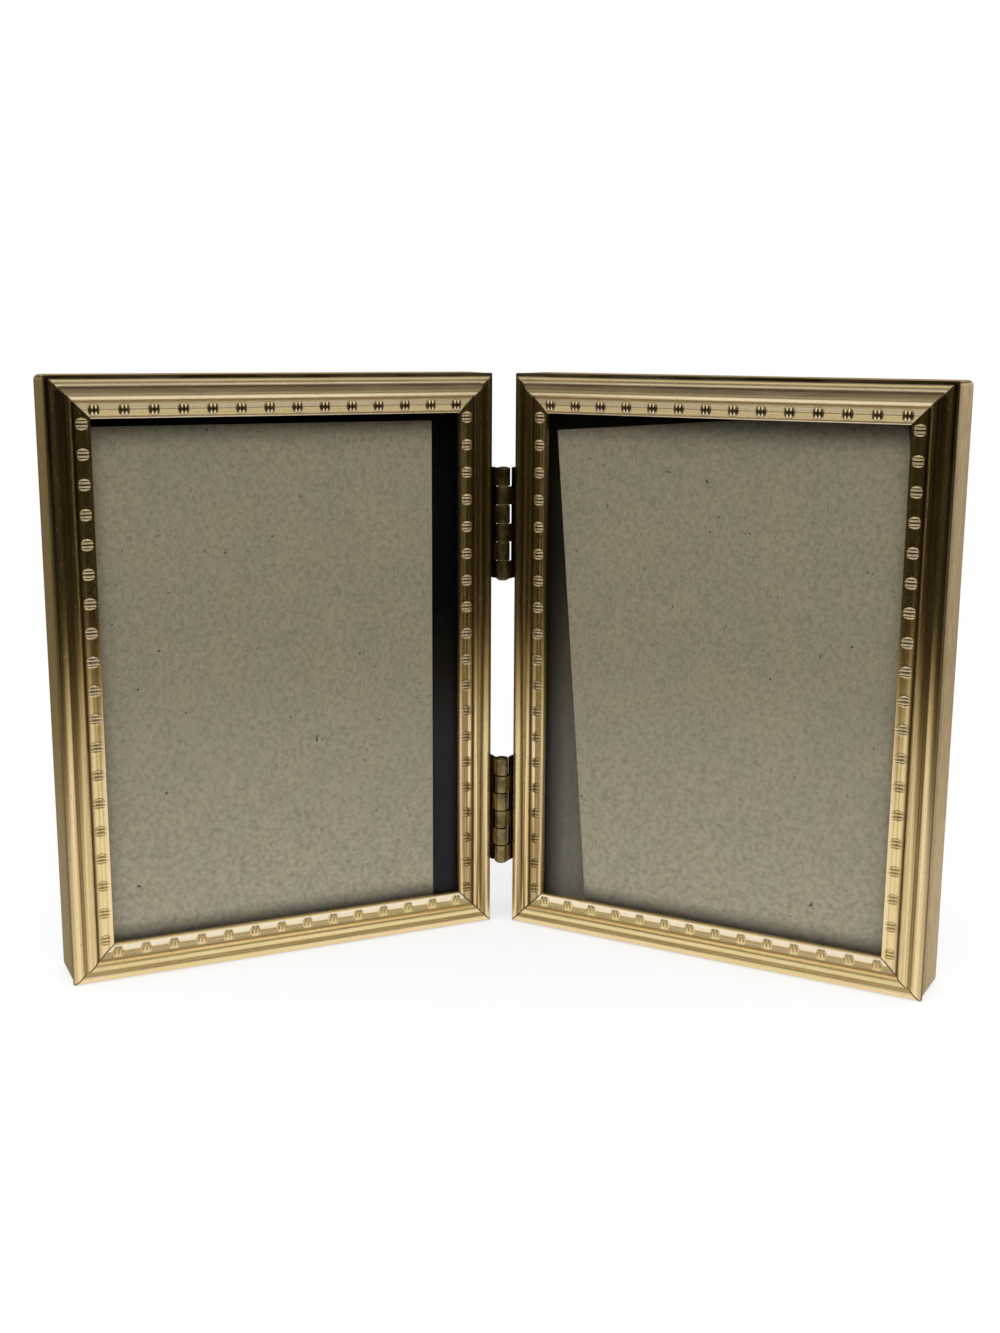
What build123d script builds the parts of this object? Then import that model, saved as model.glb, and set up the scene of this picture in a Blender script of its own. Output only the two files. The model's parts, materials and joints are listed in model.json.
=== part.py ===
from build123d import *
import math
import os

# Hinged double photo frame: two mitred brass panels that fold like a book on two butt hinges.
# Each panel is drawn square on: u runs from the hinge wall outwards, v runs forward from the
# front edge of the side walls, and z runs up from the table. Sizes are in millimetres.

# Panel
panel_width = 152.0
panel_height = 200.0
wall_depth = 19.0
sheet = 0.8
standing_angle = 26.75

# Moulding, from the outer wall inwards
outer_reed_width = 3.7
outer_reed_rise = 1.7
valley_width = 0.5
valley_rise = 0.1
inner_reed_width = 3.4
inner_reed_rise = 1.1
groove_width = 1.0
groove_floor = 0.4
groove_depth = 0.6
channel_width = 4.0
channel_depth = 0.4
lip_width = 0.8
lip_round = 0.3
lip_return = 1.9
corner_round = 1.8
corner_front = 0.8

# Reels across the channel: two discs with a tapered foot at each end
reel_radius = 3.4
reel_crown = 0.5
reel_length = 5.1
reel_pitch = 9.45
disc_width = 1.2
slit_width = 0.2
slit_depth = 0.3
foot_step = 0.12
foot_sink = 0.1

# Rolled-in ledge that carries the back panel
ledge_depth = 9.0
ledge_reach = 8.4

# Corner plates behind the mitres
plate_thickness = 1.5
plate_leg = 28.0
plate_inset = 8.8

# Glass, cards and back panel
glass_thickness = 2.0
glass_clearance = 0.2
card_thickness = 1.2
card_gap = 0.1
left_card_width = 129.0
left_card_height = 183.0
right_card_width = 121.5
right_card_height = 180.5
right_card_turn = 4.6
backing_card_clearance = 0.5
back_panel_thickness = 2.0
back_panel_overlap = 1.6

# Turn buttons on shouldered rivets
button_width = 4.4
button_tip_width = 3.0
button_length = 14.0
button_thickness = 0.9
button_gap = 0.3
button_inset = 4.2
pivot_radius = 1.0
pivot_clearance = 0.05
pivot_play = 0.1
pivot_head_radius = 1.9
pivot_head_height = 0.6

# Hinges
hinge_length = 39.0
hinge_heights = {"upper": 148.0, "lower": 43.5}
knuckle_count = 6
knuckle_gap = 0.3
barrel_radius = 2.5
leaf_thickness = 1.2
leaf_back = 11.0
leaf_corner = 2.0
notch_gap = 0.4
closed_gap = 2.6
pin_clearance = 0.05
pin_head_radius = 1.9
pin_head_height = 0.6
rivet_radius = 1.0
rivet_clearance = 0.03
rivet_head_radius = 1.7
rivet_crown_radius = 0.9
rivet_head_height = 0.6
rivet_depth = 4.0
rivet_spacing = 13.0

# Places worked out from the sizes above
inner_reed_start = outer_reed_width + valley_width
groove_start = inner_reed_start + inner_reed_width
band_start = groove_start + groove_width
channel_end = band_start + channel_width
face_width = channel_end + lip_width
valley_v = outer_reed_rise + valley_rise
band_v = valley_v + inner_reed_rise
channel_m = band_start + channel_width / 2
channel_v = band_v - channel_depth
reel_top = band_v + reel_crown
glass_front = band_v - lip_return
card_front = -plate_thickness - card_gap
hem = 2 * sheet
ledge_front = sheet - ledge_depth
panel_back = -ledge_depth - back_panel_thickness
knuckle_length = (hinge_length - (knuckle_count - 1) * knuckle_gap) / knuckle_count
bore_radius = barrel_radius - leaf_thickness
axis_u = -barrel_radius
axis_v = reel_top + closed_gap / 2
margin = 1.0

# How far each side of a panel is turned about the panel's centre, in degrees
side_angles = {"bottom_rail": 0, "top_rail": 180, "outer_stile": -90, "hinge_stile": 90}


def block(u, v, z):
    """A box from its low and high u, v and z."""
    centre = Pos((u[0] + u[1]) / 2, -(v[0] + v[1]) / 2, (z[0] + z[1]) / 2)
    return centre * Box(u[1] - u[0], v[1] - v[0], z[1] - z[0])


def turned(points):
    """A solid turned about X from its (distance along, radius) points."""
    return revolve(make_face(Polyline(*points, close=True)), Axis.X)


def upright(outline, low, high):
    """An outline in u and z, drawn out between two values of v."""
    face = Pos(0, -low, 0) * (Plane.XZ * make_face(outline))
    return extrude(face, amount=high - low, dir=(0, -1, 0))


def side_length(side):
    """Rails are as long as the panel is wide, stiles as long as it is high."""
    return panel_width if side.endswith("rail") else panel_height


def on_side(side):
    """The place of a side: X along it from its middle, Z in from the outer wall."""
    distance = panel_height / 2 if side.endswith("rail") else panel_width / 2
    turn = Rot(0, side_angles[side], 0)
    return Pos(panel_width / 2, 0, panel_height / 2) * turn * Pos(0, 0, -distance)


def reed(start, width, rise):
    """A rounded reed that leaves its start straight forward and rolls over to its far edge."""
    radius = (width ** 2 + rise ** 2) / (2 * width)
    crown = (start[0] + radius, start[1] + radius)
    return ThreePointArc(start, crown, (start[0] + width, start[1] + rise))


def moulding_section():
    """The rolled sheet seen end on, as distance in from the outer wall and height forward."""
    floor_start = groove_start + (groove_width - groove_floor) / 2
    fold = sheet - wall_depth
    lines = [
        Polyline((ledge_reach, -ledge_depth), (hem, -ledge_depth), (hem, fold)),
        ThreePointArc((hem, fold), (sheet, -wall_depth), (0, fold)),
        Line((0, fold), (0, 0)),
        reed((0, 0), outer_reed_width, outer_reed_rise),
        Line((outer_reed_width, outer_reed_rise), (inner_reed_start, valley_v)),
        reed((inner_reed_start, valley_v), inner_reed_width, inner_reed_rise),
        Polyline(
            (groove_start, band_v),
            (floor_start, band_v - groove_depth),
            (floor_start + groove_floor, band_v - groove_depth),
            (band_start, band_v),
            (channel_m, channel_v),
            (channel_end, band_v),
            (face_width - lip_round, band_v),
            (face_width, band_v - lip_round),
            (face_width, glass_front),
            (face_width - sheet, glass_front),
            (face_width - sheet, band_v - sheet),
            (channel_m, channel_v - sheet),
            (groove_start + groove_width / 2, band_v - groove_depth - sheet),
            (outer_reed_width + valley_width / 2, outer_reed_rise - sheet),
            (sheet, 0),
            (sheet, ledge_front),
            (ledge_reach, ledge_front),
            (ledge_reach, -ledge_depth),
        ),
    ]
    return make_face(lines)


def border_reel():
    """One reel at the middle of a side, cut off inside the sheet under the channel."""
    slit_end = slit_width / 2
    disc_end = slit_end + disc_width
    foot_start = disc_end + slit_width
    half = [
        (slit_end, reel_radius - slit_depth),
        (slit_end, reel_radius),
        (disc_end, reel_radius),
        (disc_end, reel_radius - slit_depth),
        (foot_start, reel_radius - slit_depth),
        (foot_start, reel_radius - foot_step),
        (reel_length / 2, reel_radius - reel_crown - channel_depth - foot_sink),
        (reel_length / 2, 0),
    ]
    other_half = [(-along, radius) for along, radius in reversed(half)]
    spindle = Pos(0, reel_radius - reel_top, channel_m) * turned(other_half + half)
    kept = block(
        (-reel_length, reel_length), (channel_v - sheet / 2, reel_top + margin), (band_start, channel_end)
    )
    return spindle & kept


def border_reels(length):
    """The reels of one side's border, evenly spaced about its middle."""
    count = int((length - 2 * face_width) / reel_pitch) + 1
    reel = border_reel()
    first = -(count - 1) * reel_pitch / 2
    return [Pos(first + i * reel_pitch, 0, 0) * reel for i in range(count)]


def corner_waste(length):
    """What is rounded off the two ends of a side wall, behind the mitred front."""
    depth = wall_depth + margin
    square = block((-margin, corner_round), (-depth, -corner_front), (-margin, corner_round))
    post = Pos(corner_round, 0, corner_round) * Rot(90, 0, 0) * Cylinder(corner_round, 4 * depth)
    waste = Pos(-length / 2, 0, 0) * (square - post)
    return [waste, mirror(waste, about=Plane.YZ)]


def side_rail(side):
    """One length of moulding with its border, mitred at both ends."""
    length = side_length(side)
    reach = face_width + margin
    start = Plane(origin=(-length / 2, 0, 0), x_dir=(0, 0, 1), z_dir=(1, 0, 0))
    blank = extrude(start * moulding_section(), amount=length, dir=(1, 0, 0))
    mitre = Polyline(
        (-length / 2, 0),
        (length / 2, 0),
        (length / 2 - reach, reach),
        (reach - length / 2, reach),
        close=True,
    )
    bordered = blank + border_reels(length)
    mitred = bordered & upright(mitre, -wall_depth - margin, axis_v + margin)
    for waste in corner_waste(length):
        mitred -= waste
    hole = Pos(0, ledge_depth, button_inset) * Rot(90, 0, 0) * Cylinder(
        pivot_radius + pivot_clearance, 4 * sheet
    )
    return on_side(side) * (mitred - hole)


def hinge_stile():
    """The stile beside the hinges, drilled for the leaves' rivets."""
    stile = side_rail("hinge_stile")
    for z in rivet_heights():
        stile -= Pos(0, rivet_depth, z) * Rot(0, 90, 0) * Cylinder(rivet_radius + rivet_clearance, 4 * sheet)
    return stile


def corner_plates():
    """Four flat angle plates behind the mitres, which also keep the glass central."""
    inner_u = panel_width / 2 - sheet
    inner_z = panel_height / 2 - sheet
    edge_u = panel_width / 2 - plate_inset
    edge_z = panel_height / 2 - plate_inset
    outline = Polyline(
        (inner_u, inner_z),
        (inner_u - plate_leg, inner_z),
        (inner_u - plate_leg, edge_z),
        (edge_u, edge_z),
        (edge_u, inner_z - plate_leg),
        (inner_u, inner_z - plate_leg),
        close=True,
    )
    plate = upright(outline, -plate_thickness, 0)
    pair = [plate, mirror(plate, about=Plane.YZ)]
    four = pair + [mirror(piece, about=Plane.XY) for piece in pair]
    return [Pos(panel_width / 2, 0, panel_height / 2) * piece for piece in four]


def sheet_inside(inset, back, thickness):
    """A flat sheet whose edges lie a distance in from the panel's outer faces."""
    return block(
        (inset, panel_width - inset), (back, back + thickness), (inset, panel_height - inset)
    )


def left_card():
    """The left card stands on the bottom wall and has slid against the outer wall."""
    far = panel_width - sheet - card_gap
    low = sheet + card_gap
    return block(
        (far - left_card_width, far), (card_front - card_thickness, card_front), (low, low + left_card_height)
    )


def right_card():
    """The right card leans: one corner stands on the bottom wall, one rests on the outer wall."""
    far = panel_width - sheet - card_gap
    corner = far - right_card_width * math.cos(math.radians(right_card_turn))
    card = block((0, right_card_width), (card_front - card_thickness, card_front), (0, right_card_height))
    return Pos(corner, 0, sheet + card_gap) * Rot(0, -right_card_turn, 0) * card


def turn_button(side):
    """A tapered swivelling clip that reaches in over the back panel."""
    hub = Pos(0, button_inset) * Circle(button_width / 2)
    tip = Pos(0, button_inset + button_length - button_tip_width / 2) * Circle(button_tip_width / 2)
    front = panel_back - button_gap
    plate = upright(make_hull(hub.edges() + tip.edges()).edges(), front - button_thickness, front)
    hole = Pos(0, -front, button_inset) * Rot(90, 0, 0) * Cylinder(
        pivot_radius + pivot_clearance, 4 * button_thickness
    )
    return on_side(side) * (plate - hole)


def button_rivet(side):
    """A shouldered rivet through the ledge, which carries a turn button."""
    shoulder = -panel_back + button_gap - pivot_play
    under_head = -panel_back + button_gap + button_thickness + pivot_play
    rivet = turned([
        (-ledge_front - pivot_head_height, 0),
        (-ledge_front - pivot_head_height, pivot_head_radius),
        (-ledge_front, pivot_head_radius),
        (-ledge_front, pivot_radius),
        (ledge_depth, pivot_radius),
        (ledge_depth, pivot_head_radius),
        (shoulder, pivot_head_radius),
        (shoulder, pivot_radius),
        (under_head, pivot_radius),
        (under_head, pivot_head_radius),
        (under_head + pivot_head_height, pivot_radius),
        (under_head + pivot_head_height, 0),
    ])
    return on_side(side) * Pos(0, 0, button_inset) * Rot(0, 0, 90) * rivet


def rivet_heights():
    """Heights of the rivets that hold the hinge leaves."""
    return [height + i * rivet_spacing for height in hinge_heights.values() for i in (-1, 0, 1)]


def leaf_rivet(z):
    """A rivet through a hinge leaf and the stile's wall."""
    rivet = turned([
        (-leaf_thickness - rivet_head_height, 0),
        (-leaf_thickness - rivet_head_height, rivet_crown_radius),
        (-leaf_thickness, rivet_head_radius),
        (-leaf_thickness, rivet_radius),
        (sheet, rivet_radius),
        (sheet, rivet_head_radius),
        (sheet + rivet_head_height, rivet_crown_radius),
        (sheet + rivet_head_height, 0),
    ])
    return Pos(0, rivet_depth, z) * rivet


def hinge_leaf(height, first_knuckle):
    """A leaf on the hinge stile's wall, curled into every second knuckle of the barrel."""
    low = height - hinge_length / 2
    notch = axis_v - barrel_radius - notch_gap
    leaf = block((-leaf_thickness, 0), (-leaf_back, notch), (low, low + hinge_length))
    leaf = fillet(leaf.edges().filter_by(Axis.X).group_by(Axis.Y)[-1], leaf_corner)
    for k in range(first_knuckle, knuckle_count, 2):
        top = low + hinge_length - k * (knuckle_length + knuckle_gap)
        leaf += block((-leaf_thickness, 0), (notch - leaf_thickness, axis_v), (top - knuckle_length, top))
        leaf += Pos(axis_u, -axis_v, top - knuckle_length / 2) * Cylinder(barrel_radius, knuckle_length)
    leaf -= Pos(axis_u, -axis_v, height) * Cylinder(bore_radius, hinge_length + margin)
    for i in (-1, 0, 1):
        hole = Cylinder(rivet_radius + rivet_clearance, 4 * leaf_thickness)
        leaf -= Pos(0, rivet_depth, height + i * rivet_spacing) * Rot(0, 90, 0) * hole
    return leaf


def hinge_pin(height):
    """A pin with a head at each end; the lower head hangs just clear of the last knuckle."""
    radius = bore_radius - pin_clearance
    pin = turned([
        (-knuckle_gap - pin_head_height, 0),
        (-knuckle_gap - pin_head_height, radius),
        (-knuckle_gap, pin_head_radius),
        (-knuckle_gap, radius),
        (hinge_length, radius),
        (hinge_length, pin_head_radius),
        (hinge_length + pin_head_height, radius),
        (hinge_length + pin_head_height, 0),
    ])
    return Pos(axis_u, -axis_v, height - hinge_length / 2) * Rot(0, -90, 0) * pin


def stand(piece, hand):
    """Bring the hinge axis to the origin and swing a panel's piece to its standing angle."""
    moved = Pos(-axis_u, axis_v, 0) * piece
    if hand == "left":
        return Rot(0, 0, standing_angle) * mirror(moved, about=Plane.YZ)
    return Rot(0, 0, -standing_angle) * moved


nodes = {}
glass_inset = plate_inset + glass_clearance
for hand, card, first_knuckle in (("left", left_card(), 0), ("right", right_card(), 1)):
    pieces = {
        "top_rail": [side_rail("top_rail")],
        "bottom_rail": [side_rail("bottom_rail")],
        "outer_stile": [side_rail("outer_stile")],
        "hinge_stile": [hinge_stile()],
        "corner_plates": corner_plates(),
        "glass_pane": [sheet_inside(glass_inset, glass_front - glass_thickness, glass_thickness)],
        "filler_card": [card],
        "back_panel": [sheet_inside(ledge_reach - back_panel_overlap, panel_back, back_panel_thickness)],
        "button_rivets": [button_rivet(side) for side in side_angles],
        "hinge_rivets": [leaf_rivet(z) for z in rivet_heights()],
    }
    if hand == "right":
        inset = ledge_reach + backing_card_clearance
        pieces["backing_card"] = [sheet_inside(inset, -ledge_depth, card_thickness)]
    for side in side_angles:
        pieces[side.split("_")[0] + "_turn_button"] = [turn_button(side)]
    for name, group in pieces.items():
        nodes[hand + "_" + name] = [stand(piece, hand) for piece in group]
    for level, height in hinge_heights.items():
        nodes[level + "_hinge_" + hand + "_leaf"] = [stand(hinge_leaf(height, first_knuckle), hand)]
for level, height in hinge_heights.items():
    nodes[level + "_hinge_pin"] = [stand(hinge_pin(height), "left")]

# The origin is on the table under the middle of the standing frame
boxes = [solid.bounding_box() for group in nodes.values() for solid in group]
middle_x = (min(box.min.X for box in boxes) + max(box.max.X for box in boxes)) / 2
middle_y = (min(box.min.Y for box in boxes) + max(box.max.Y for box in boxes)) / 2
low_z = min(box.min.Z for box in boxes)
home = Pos(-middle_x, -middle_y, -low_z)

os.makedirs("parts", exist_ok=True)
for name, group in nodes.items():
    solids = [solid for piece in group for solid in (home * piece).solids()]
    export_step(solids[0] if len(solids) == 1 else Compound(solids), f"parts/{name}.step")
print("hinge axis at", home.position)
print("nodes", len(nodes))
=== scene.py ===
"""Looks of the hinged double photo frame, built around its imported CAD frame."""
import bmesh
import bpy
import json
import math
from collections import namedtuple
from mathutils import Matrix, Vector


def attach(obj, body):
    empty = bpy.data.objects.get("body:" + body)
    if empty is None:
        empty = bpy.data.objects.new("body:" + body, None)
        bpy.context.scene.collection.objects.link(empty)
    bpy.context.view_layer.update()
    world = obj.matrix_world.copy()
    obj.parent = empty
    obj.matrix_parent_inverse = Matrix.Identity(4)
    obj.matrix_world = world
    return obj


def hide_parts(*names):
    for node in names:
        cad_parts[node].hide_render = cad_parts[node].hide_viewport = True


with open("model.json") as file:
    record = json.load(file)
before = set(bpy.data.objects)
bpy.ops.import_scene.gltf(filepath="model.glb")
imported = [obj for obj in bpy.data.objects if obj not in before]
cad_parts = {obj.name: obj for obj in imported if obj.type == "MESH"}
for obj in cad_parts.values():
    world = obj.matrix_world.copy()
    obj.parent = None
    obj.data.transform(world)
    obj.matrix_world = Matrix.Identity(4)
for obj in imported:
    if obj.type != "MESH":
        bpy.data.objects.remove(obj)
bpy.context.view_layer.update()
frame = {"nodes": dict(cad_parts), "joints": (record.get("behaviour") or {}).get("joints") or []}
joints = {joint["name"]: joint for joint in frame["joints"]}
UP = (0, 0, 1)

# Sizes in millimetres. Each panel is drawn square on, as in the CAD source: u runs from the hinge wall
# outwards, v runs forward from the front edge of the side walls, and z runs up from the table.
MM = 0.001
PANEL_WIDTH = 152.0
PANEL_HEIGHT = 200.0
WALL_DEPTH = 19.0
SHEET = 0.8
AXIS_U = -2.5
AXIS_V = 4.7

# Moulding, from the outer wall inwards. The wall has rows of corners at two shares of its depth.
WALL_ROWS = (0.66, 0.33)
OUTER_REED_WIDTH = 3.7
OUTER_REED_RISE = 1.7
INNER_REED_START = 4.2
INNER_REED_WIDTH = 3.4
INNER_REED_RISE = 1.1
VALLEY_V = 1.8
GROOVE_START = 7.6
GROOVE_LEAN = 0.3
GROOVE_FLOOR_M = 8.1
GROOVE_DEPTH = 0.6
SHOULDER_M = 0.25
SHOULDER_V = 0.3
BAND_START = 8.6
BAND_END = 12.6
BAND_V = 2.9
BAND_ROWS = 18
CREASE_M = 10.6
CREASE_V = 2.5
FACE_WIDTH = 13.4
LIP_ROUND = 0.35
GLASS_FRONT = 1.0
LEDGE_DEPTH = 9.0
LEDGE_REACH = 8.4
BEND_RADIUS = 0.8
MITRE_GAP = 0.1
MITRE_WEAR = 0.12
MITRE_WEAR_FRONT = 0.3
CORNER_ROUND = 1.8
CORNER_FRONT = 0.8
CORNER_STEP = 0.08
CORNER_STATIONS = (0.45, 0.85)

# Border: a shallow channel with a raised reel at every pitch, whose axis lies along the channel. A filled
# slit closes between two distances aside from the crest.
REEL_PITCH = 9.45
REEL_TOP = 3.4
REEL_RADIUS = 3.4
DISC_SPACING = 1.2
DISC_HALF = 0.3
DISC_CROWN = 0.08
SLIT_DEPTH = 0.4
FILLED_SLIT = (0.5, 1.3)
FOOT_START = 1.25
FOOT_START_DROP = 0.12
FOOT_END = 1.95
FOOT_END_DROP = 1.0
RELIEF_BLEND = 0.06
STATION_FINE = 0.12
STATION_COARSE = 0.75
STATION_CLOSE = 2.16

# Hinges, rivets and turn buttons. A knuckle's wrap and a domed head's sweep are in degrees.
HINGE_LENGTH = 39.0
HINGE_HEIGHTS = {"upper": 148.0, "lower": 43.5}
KNUCKLE_COUNT = 6
KNUCKLE_GAP = 0.3
KNUCKLE_WRAP = 297
KNUCKLE_LAP = 0.3
KNUCKLE_EDGE = 0.16
BARREL_RADIUS = 2.4
LEAF_THICKNESS = 1.2
LEAF_BACK = 11.0
LEAF_CORNER = 2.0
LEAF_EDGE = 0.15
LEAF_NOTCH_V = 2.1
DEEP_NOTCH_V = 1.2
PIN_CLEARANCE = 0.05
PIN_HEAD_RADIUS = 1.9
PIN_HEAD_HEIGHT = 0.4
LEAF_RIVET_V = -4.0
LEAF_RIVET_SPACING = 13.0
LEAF_RIVET_RADIUS = 1.0
LEAF_RIVET_HEAD = 1.7
HEAD_HEIGHT = 0.6
DOME_SWEEP = 80
BUTTON_INSET = 4.2
BUTTON_LENGTH = 14.0
BUTTON_HUB = 2.2
BUTTON_TIP = 1.5
BUTTON_THICKNESS = 0.9
BUTTON_EDGE = 0.2
BUTTON_GAP = 0.3
PIVOT_RADIUS = 1.0
PIVOT_HEAD = 1.9
PIVOT_PLAY = 0.1
PANEL_BACK = -11.0

# Levels of a plate's rounded edge, as shares of its radius, and the least cosine at an offset corner
EDGE_SOFT = 0.3
EDGE_SUPPORT = 1.5
SHARPEST_TURN = 0.5

# Finish of a mesh: merging in metres, sharp edges in degrees, and the map that the metal's grain follows
MERGE_DISTANCE = 1e-7
SHARP_ANGLE = 35
GRAIN_SCALE = 0.01
BORDER_GRAIN_START = 20
BORDER_GRAIN_STEP = 0.3

SIDE_LENGTHS = {
    "bottom_rail": PANEL_WIDTH,
    "top_rail": PANEL_WIDTH,
    "outer_stile": PANEL_HEIGHT,
    "hinge_stile": PANEL_HEIGHT,
}
BUTTON_SIDES = {
    "bottom": "bottom_rail",
    "top": "top_rail",
    "outer": "outer_stile",
    "hinge": "hinge_stile",
}
HANDS = ("left", "right")

# What the surface is like at each corner of a piece, from 0 to 1, for the materials to read, in this
# order:
# dirt with painted shade, a dull side or a hinge plate in painted shadow, a raised reel, what is made pale
# by wear with painted light, and tarnish with painted shade
SURFACE_VALUES = ("cavity", "wall", "stamped", "worn", "aged")

# Tarnish of each side at the table and at the top, its change from side to side and with height being
# painted shade
SIDE_TARNISH_AND_SHADE = {
    "bottom_rail": (0.12, 0.12),
    "top_rail": (0.12, 0.12),
    "outer_stile": (0.3, 0.6),
    "hinge_stile": (1.0, 0.45),
}

# How far faces, walls and reels are made pale, with the share of it that a wall has low down: the top
# rail's face by painted highlight, the walls by wear and painted light (the top and right outer walls
# most), the reels by wear and painted highlight. The channel's pale side, a painted highlight, and the
# wall's dull finish end over a width in millimetres.
FACE_HIGHLIGHT = {"top_rail": 0.6}
WALL_WEAR_AND_LIGHT = {"left_top_rail": 0.4, "right_top_rail": 0.4, "right_outer_stile": 0.95}
OTHER_WALL_WEAR_AND_LIGHT = 0.1
LOW_WALL_SHARE = 0.6
REEL_WEAR_AND_HIGHLIGHT = 0.8
CHANNEL_HIGHLIGHT_WIDTH = 0.5
WALL_FADE_WIDTH = 0.4

# Dark marks in the creases, along the wall's front edge and on the reeds' outer flanks: dirt with painted
# shade in the valley, groove and edge, painted shade alone on the flanks. Dirt in the mitres, at the
# reels' feet and in their slits, its growth with height being painted shade. A pair holds it low down and
# high up, a width is in millimetres, and a flank has its start, its reach and its painted shade.
VALLEY_DIRT_AND_SHADE = {"rail": (0.45, 1.0), "stile": (0.6, 0.9)}
VALLEY_DIRT_AND_SHADE_WIDTH = 0.5
GROOVE_DIRT_AND_SHADE = {"rail": 0.3, "stile": 0.95}
GROOVE_DIRT_AND_SHADE_WIDTH = 0.55
EDGE_DIRT_AND_SHADE = (0.7, 1.0)
EDGE_DIRT_AND_SHADE_PLACE = (0, -0.2)
EDGE_DIRT_AND_SHADE_WIDTH = 0.6
OUTER_FLANK_SHADE = (0, 1.8, 1.0)
INNER_FLANK_SHADE = (INNER_REED_START, 2.2, 0.7)
HINGE_FLANK_SHADE = 0.85
MITRE_DIRT = 0.8
MITRE_DIRT_WIDTH = 0.15
FOOT_DIRT = 0.7
FOOT_DIRT_WIDTH = 0.07
SLIT_DIRT = 0.9
REEL_DIRT_AND_SHADE = (0.3, 1.0)

# Heights in millimetres between which dirt with painted shade, painted shade on the flanks, and wear with
# painted light grow from their least to their most
CREASE_HEIGHTS = (40, 110)
FLANK_HEIGHTS = (60, 160)
REEL_DIRT_AND_SHADE_HEIGHTS = (40, 140)
REEL_WEAR_AND_HIGHLIGHT_HEIGHTS = (50, 120)
WALL_WEAR_AND_LIGHT_HEIGHTS = (10, 90)

# How much the layers of a brass show at most, and what walls and dirt with its painted shade add to its
# roughness
RUBBED_AND_LIT_SHARE = 0.5
DULL_SHARE = 0.9
SPECK_SHARE = 0.75
SPECK_DEPTH = 0.6
# How dark the painted shadow on a hinge plate gets
PLATE_SHADOW_SHARE = 0.85
WALL_ROUGHER = 0.2
DIRT_AND_SHADE_ROUGHER = 0.3

# Colours of the brass moulding. The tarnished and dirt colours also lay on painted shade, and the rubbed
# and bare wall colours painted light.
BRASS_PALE = (0.88, 0.69, 0.35)
BRASS_DEEP = (0.81, 0.61, 0.28)
BRASS_ROSY = (0.84, 0.63, 0.4)
BRASS_GREENISH = (0.74, 0.63, 0.3)
BRASS_TARNISHED = (0.2, 0.11, 0.03)
BRASS_RUBBED_AND_LIT = (0.97, 0.92, 0.82)
BRASS_SPECK = (0.1, 0.07, 0.03)
BRASS_DIRT_AND_SHADE = (0.03, 0.017, 0.004)
WALL_DULL = (0.17, 0.115, 0.035)
WALL_BARE_AND_LIT = (0.62, 0.46, 0.26)

# Colours of the hinges and the steel fittings. The plate colour is a painted shadow on the hinge leaves'
# plates, and the dirt colour is dirt with painted shade on the knuckles' ends.
HINGE_BROWN = (0.1, 0.07, 0.033)
HINGE_OLIVE = (0.33, 0.25, 0.12)
HINGE_GRAIN = (0.06, 0.04, 0.018)
HINGE_PLATE_SHADOW = (0.015, 0.01, 0.006)
HINGE_DIRT_AND_SHADE = (0.006, 0.004, 0.002)
STEEL_PLATED = (0.5, 0.47, 0.4)
STEEL_STAINED = (0.3, 0.24, 0.16)

# Colours of the cards, boards and glass. The faded colour is painted light on the front cards, and the
# soil colour painted shade on the cards.
CARD_GREY = (0.275, 0.242, 0.17)
CARD_BROWN = (0.315, 0.257, 0.172)
CARD_DARK = (0.17, 0.148, 0.105)
CARD_FIBRE = (0.4, 0.35, 0.26)
CARD_FLECK = (0.06, 0.05, 0.04)
CARD_PAINTED_LIGHT = (0.54, 0.47, 0.34)
CARD_PAINTED_SHADE = (0.012, 0.009, 0.005)
BOARD_BLACK = (0.003, 0.003, 0.004)
BOARD_SCUFFED = (0.01, 0.009, 0.009)
GLASS_TINT = (0.97, 0.985, 0.98)

# Stage, in metres and degrees: the table, the dim room that metal mirrors, and the lamp
WHITE = (1.0, 1.0, 1.0)
TABLE_REACH = 6.0
TABLE_PALE = (0.9, 0.9, 0.9)
TABLE_TAN = (0.4, 0.34, 0.21)
TABLE_DARK = (0.02, 0.015, 0.006)
ROOM_DISTANCE = 0.62
ROOM_HEIGHT = 1.4
ROOM_PANELS = 12
ROOM_SPREAD = 80
ROOM_DARK = (0.03, 0.024, 0.011)
ROOM_WARM = (0.9, 0.83, 0.62)
LAMP_PLACE = (0, -0.6, 1.2)
LAMP_TARGET = (0, 0, 0.1)
LAMP_SIZE = (1.0, 0.8)
LAMP_POWER = 8
FRONT_GLOW = 0.95
REAR_GLOW = 0.06

# Camera of the photograph, in metres and degrees, with the image's size in pixels
CAMERA_PLACE = (0.01732, -0.53981, 0.21372)
CAMERA_PITCH = 11.737
CAMERA_YAW = -1.842
CAMERA_ROLL = 0.329
FOCAL_PIXELS = 1608.2
IMAGE_HEIGHT = 1333
SENSOR = 36.0


# Shapes


def panel_matrix(hand):
    """From a panel's u, v and z in millimetres to the standing frame in metres."""
    hinge = Vector(joints["panel_fold"]["pos_m"])
    # A turn button's axis is square to its panel, so it tells how far the panel stands open
    rear = joints["right_top_button_turn"]["axis"]
    angle = math.atan2(rear[0], rear[1])
    flip = -1 if hand == "left" else 1
    square_on = Matrix(((flip, 0, 0, -flip * AXIS_U), (0, -1, 0, AXIS_V), (0, 0, 1, 0), (0, 0, 0, 1)))
    turn = Matrix.Rotation(-flip * angle, 4, "Z")
    return Matrix.Translation((hinge.x, hinge.y, 0)) @ turn @ Matrix.Scale(MM, 4) @ square_on


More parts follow.
